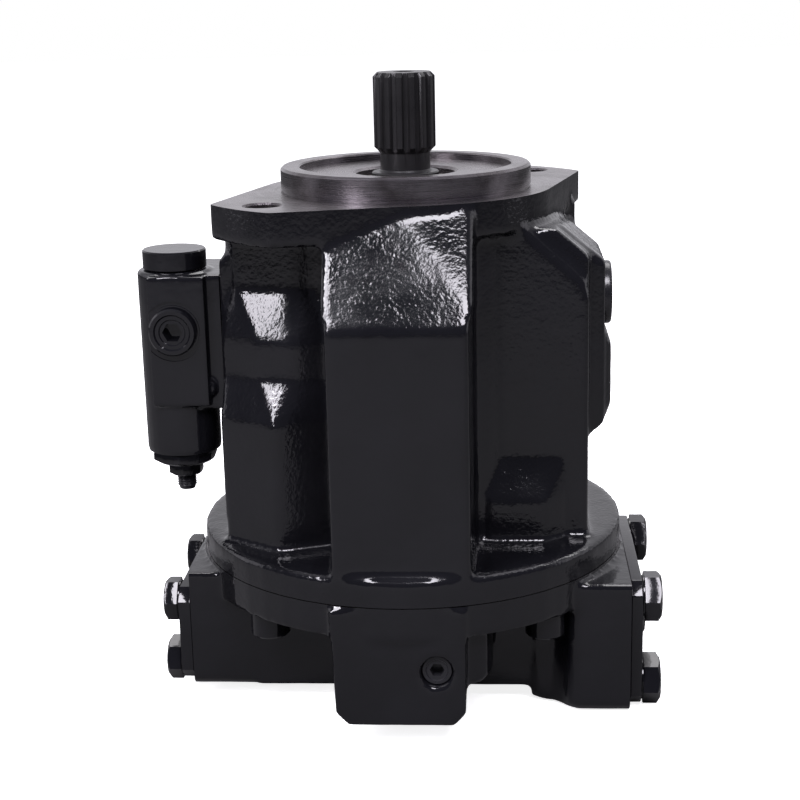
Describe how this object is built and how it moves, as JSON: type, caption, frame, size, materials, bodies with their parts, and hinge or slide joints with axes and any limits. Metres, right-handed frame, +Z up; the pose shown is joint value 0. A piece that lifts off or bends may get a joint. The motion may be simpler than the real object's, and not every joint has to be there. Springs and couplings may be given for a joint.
{
  "type": "axial piston pump",
  "caption": "Variable axial piston pump with two-bolt pilot flange, splined shaft, tilting swashplate, pistons, side ports with bolted covers and a side pressure compensator.",
  "frame": {"origin": "on the shaft's axis, on the flat bottom of the round rear pad", "axes": "+Z up along the shaft towards its splined end, X along the two ports with the suction port at +X, -Y towards the control piston's lobe"},
  "size_m": [0.2103, 0.1768, 0.253],
  "materials": {
    "gloss_black_paint": "gloss black enamel over a rough iron casting; mounting face and pilot machined bare",
    "painted_fastener": "steel screws painted over in gloss black",
    "black_steel": "satin to gloss black steel plugs",
    "dark_shaft_steel": "dark phosphated splined shaft with ground journals",
    "ground_steel": "ground hardened steel",
    "bearing_bronze": "bearing bronze, fine turned",
    "spring_steel": "drawn spring wire",
    "seal_rubber": "dark brown lip seal rubber"
  },
  "bodies": {
    "root": {"housing": "gloss_black_paint", "end_cap": "gloss_black_paint", "suction_cover": "gloss_black_paint", "pressure_cover": "gloss_black_paint", "suction_cover_bolt_1": "painted_fastener", "suction_cover_bolt_2": "painted_fastener", "suction_cover_bolt_3": "painted_fastener", "suction_cover_bolt_4": "painted_fastener", "pressure_cover_bolt_1": "painted_fastener", "pressure_cover_bolt_2": "painted_fastener", "pressure_cover_bolt_3": "painted_fastener", "pressure_cover_bolt_4": "painted_fastener", "end_cap_screw_1": "painted_fastener", "end_cap_screw_2": "painted_fastener", "end_cap_screw_3": "painted_fastener", "end_cap_screw_4": "painted_fastener", "gauge_port_plug": "black_steel", "drain_port_plug": "black_steel", "front_bearing_cup": "ground_steel", "rear_needle_bearing": "ground_steel", "shaft_seal": "seal_rubber", "valve_plate": "bearing_bronze", "cradle_bearing": "bearing_bronze", "bias_spring": "spring_steel", "compensator_body": "gloss_black_paint", "compensator_top_plug": "black_steel", "compensator_side_plug": "black_steel", "compensator_spring_cap": "black_steel", "adjuster_lock_nut": "black_steel", "spring_seat": "ground_steel", "compensator_spring": "spring_steel"},
    "rotor": {"drive_shaft": "dark_shaft_steel", "front_bearing_cone": "ground_steel", "cylinder_block": "ground_steel", "retaining_ball": "ground_steel", "block_spring": "spring_steel"},
    "swashplate_body": {"swashplate": "ground_steel"},
    "retainer_body": {"retainer_plate": "ground_steel"},
    "control_piston_body": {"control_piston": "ground_steel"},
    "bias_piston_body": {"bias_piston": "ground_steel"},
    "spool_body": {"compensator_spool": "ground_steel"},
    "screw_body": {"adjusting_screw": "ground_steel"},
    "slipper_1_body": {"slipper_1": "bearing_bronze"},
    "piston_1_body": {"piston_1": "ground_steel"},
    "slipper_2_body": {"slipper_2": "bearing_bronze"},
    "piston_2_body": {"piston_2": "ground_steel"},
    "slipper_3_body": {"slipper_3": "bearing_bronze"},
    "piston_3_body": {"piston_3": "ground_steel"},
    "slipper_4_body": {"slipper_4": "bearing_bronze"},
    "piston_4_body": {"piston_4": "ground_steel"},
    "slipper_5_body": {"slipper_5": "bearing_bronze"},
    "piston_5_body": {"piston_5": "ground_steel"},
    "slipper_6_body": {"slipper_6": "bearing_bronze"},
    "piston_6_body": {"piston_6": "ground_steel"},
    "slipper_7_body": {"slipper_7": "bearing_bronze"},
    "piston_7_body": {"piston_7": "ground_steel"},
    "slipper_8_body": {"slipper_8": "bearing_bronze"},
    "piston_8_body": {"piston_8": "ground_steel"},
    "slipper_9_body": {"slipper_9": "bearing_bronze"},
    "piston_9_body": {"piston_9": "ground_steel"}
  },
  "joints": [
    {"name": "shaft_spin", "type": "hinge", "parent": "root", "child": "rotor", "pos_m": [0, 0, 0.1], "axis": [0, 0, 1], "continuous": true},
    {"name": "swash_tilt", "type": "hinge", "parent": "root", "child": "swashplate_body", "pos_m": [0, 0, 0.132], "axis": [1, 0, 0], "range_deg": [-15, 0], "stiffness_Nm_per_rad": 40, "springref_deg": 5.73, "deforming": ["bias_spring"]},
    {"name": "retainer_turn", "type": "hinge", "parent": "swashplate_body", "child": "retainer_body", "pos_m": [0, 0, 0.132], "axis": [0, -0.2588, 0.9659], "continuous": true},
    {"name": "control_piston_slide", "type": "slide", "parent": "root", "child": "control_piston_body", "axis": [0, 0, 1], "range_m": [0, 0.0165]},
    {"name": "bias_piston_slide", "type": "slide", "parent": "root", "child": "bias_piston_body", "axis": [0, 0, 1], "range_m": [-0.0158, 0], "deforming": ["bias_spring"]},
    {"name": "spool_slide", "type": "slide", "parent": "root", "child": "spool_body", "axis": [0, 0, 1], "range_m": [-0.0025, 0.0025], "stiffness_N_per_m": 900, "deforming": ["compensator_spring"]},
    {"name": "adjusting_screw_turn", "type": "hinge", "parent": "root", "child": "screw_body", "pos_m": [-0.093, -0.02, 0.1], "axis": [0, 0, 1], "range_deg": [-720, 720]},
    {"name": "slipper_1_turn", "type": "hinge", "parent": "retainer_body", "child": "slipper_1_body", "pos_m": [0, 0.03244, 0.14069], "axis": [0, -0.2588, 0.9659], "continuous": true},
    {"name": "piston_1_swivel", "type": "hinge", "parent": "slipper_1_body", "child": "piston_1_body", "pos_m": [0, 0.03244, 0.14069], "axis": [1, 0, 0], "range_deg": [0, 15]},
    {"name": "slipper_2_turn", "type": "hinge", "parent": "retainer_body", "child": "slipper_2_body", "pos_m": [-0.02159, 0.02485, 0.13866], "axis": [0, -0.2588, 0.9659], "continuous": true},
    {"name": "piston_2_swivel", "type": "hinge", "parent": "slipper_2_body", "child": "piston_2_body", "pos_m": [-0.02159, 0.02485, 0.13866], "axis": [1, 0, 0], "range_deg": [0, 15]},
    {"name": "slipper_3_turn", "type": "hinge", "parent": "retainer_body", "child": "slipper_3_body", "pos_m": [-0.03307, 0.00563, 0.13351], "axis": [0, -0.2588, 0.9659], "continuous": true},
    {"name": "piston_3_swivel", "type": "hinge", "parent": "slipper_3_body", "child": "piston_3_body", "pos_m": [-0.03307, 0.00563, 0.13351], "axis": [1, 0, 0], "range_deg": [0, 15]},
    {"name": "slipper_4_turn", "type": "hinge", "parent": "retainer_body", "child": "slipper_4_body", "pos_m": [-0.02908, -0.01622, 0.12765], "axis": [0, -0.2588, 0.9659], "continuous": true},
    {"name": "piston_4_swivel", "type": "hinge", "parent": "slipper_4_body", "child": "piston_4_body", "pos_m": [-0.02908, -0.01622, 0.12765], "axis": [1, 0, 0], "range_deg": [0, 15]},
    {"name": "slipper_5_turn", "type": "hinge", "parent": "retainer_body", "child": "slipper_5_body", "pos_m": [-0.01149, -0.03048, 0.12383], "axis": [0, -0.2588, 0.9659], "continuous": true},
    {"name": "piston_5_swivel", "type": "hinge", "parent": "slipper_5_body", "child": "piston_5_body", "pos_m": [-0.01149, -0.03048, 0.12383], "axis": [1, 0, 0], "range_deg": [0, 15]},
    {"name": "slipper_6_turn", "type": "hinge", "parent": "retainer_body", "child": "slipper_6_body", "pos_m": [0.01149, -0.03048, 0.12383], "axis": [0, -0.2588, 0.9659], "continuous": true},
    {"name": "piston_6_swivel", "type": "hinge", "parent": "slipper_6_body", "child": "piston_6_body", "pos_m": [0.01149, -0.03048, 0.12383], "axis": [1, 0, 0], "range_deg": [0, 15]},
    {"name": "slipper_7_turn", "type": "hinge", "parent": "retainer_body", "child": "slipper_7_body", "pos_m": [0.02908, -0.01622, 0.12765], "axis": [0, -0.2588, 0.9659], "continuous": true},
    {"name": "piston_7_swivel", "type": "hinge", "parent": "slipper_7_body", "child": "piston_7_body", "pos_m": [0.02908, -0.01622, 0.12765], "axis": [1, 0, 0], "range_deg": [0, 15]},
    {"name": "slipper_8_turn", "type": "hinge", "parent": "retainer_body", "child": "slipper_8_body", "pos_m": [0.03307, 0.00563, 0.13351], "axis": [0, -0.2588, 0.9659], "continuous": true},
    {"name": "piston_8_swivel", "type": "hinge", "parent": "slipper_8_body", "child": "piston_8_body", "pos_m": [0.03307, 0.00563, 0.13351], "axis": [1, 0, 0], "range_deg": [0, 15]},
    {"name": "slipper_9_turn", "type": "hinge", "parent": "retainer_body", "child": "slipper_9_body", "pos_m": [0.02159, 0.02485, 0.13866], "axis": [0, -0.2588, 0.9659], "continuous": true},
    {"name": "piston_9_swivel", "type": "hinge", "parent": "slipper_9_body", "child": "piston_9_body", "pos_m": [0.02159, 0.02485, 0.13866], "axis": [1, 0, 0], "range_deg": [0, 15]}
  ],
  "couplings": [
    {"joint": "retainer_turn", "follows": "shaft_spin", "ratio": 1},
    {"joint": "control_piston_slide", "follows": "swash_tilt", "m_per_rad": -0.0625},
    {"joint": "bias_piston_slide", "follows": "swash_tilt", "m_per_rad": 0.0595},
    {"joint": "slipper_1_turn", "follows": "shaft_spin", "ratio": -1},
    {"joint": "piston_1_swivel", "follows": "swash_tilt", "ratio": -1},
    {"joint": "slipper_2_turn", "follows": "shaft_spin", "ratio": -1},
    {"joint": "piston_2_swivel", "follows": "swash_tilt", "ratio": -1},
    {"joint": "slipper_3_turn", "follows": "shaft_spin", "ratio": -1},
    {"joint": "piston_3_swivel", "follows": "swash_tilt", "ratio": -1},
    {"joint": "slipper_4_turn", "follows": "shaft_spin", "ratio": -1},
    {"joint": "piston_4_swivel", "follows": "swash_tilt", "ratio": -1},
    {"joint": "slipper_5_turn", "follows": "shaft_spin", "ratio": -1},
    {"joint": "piston_5_swivel", "follows": "swash_tilt", "ratio": -1},
    {"joint": "slipper_6_turn", "follows": "shaft_spin", "ratio": -1},
    {"joint": "piston_6_swivel", "follows": "swash_tilt", "ratio": -1},
    {"joint": "slipper_7_turn", "follows": "shaft_spin", "ratio": -1},
    {"joint": "piston_7_swivel", "follows": "swash_tilt", "ratio": -1},
    {"joint": "slipper_8_turn", "follows": "shaft_spin", "ratio": -1},
    {"joint": "piston_8_swivel", "follows": "swash_tilt", "ratio": -1},
    {"joint": "slipper_9_turn", "follows": "shaft_spin", "ratio": -1},
    {"joint": "piston_9_swivel", "follows": "swash_tilt", "ratio": -1}
  ]
}
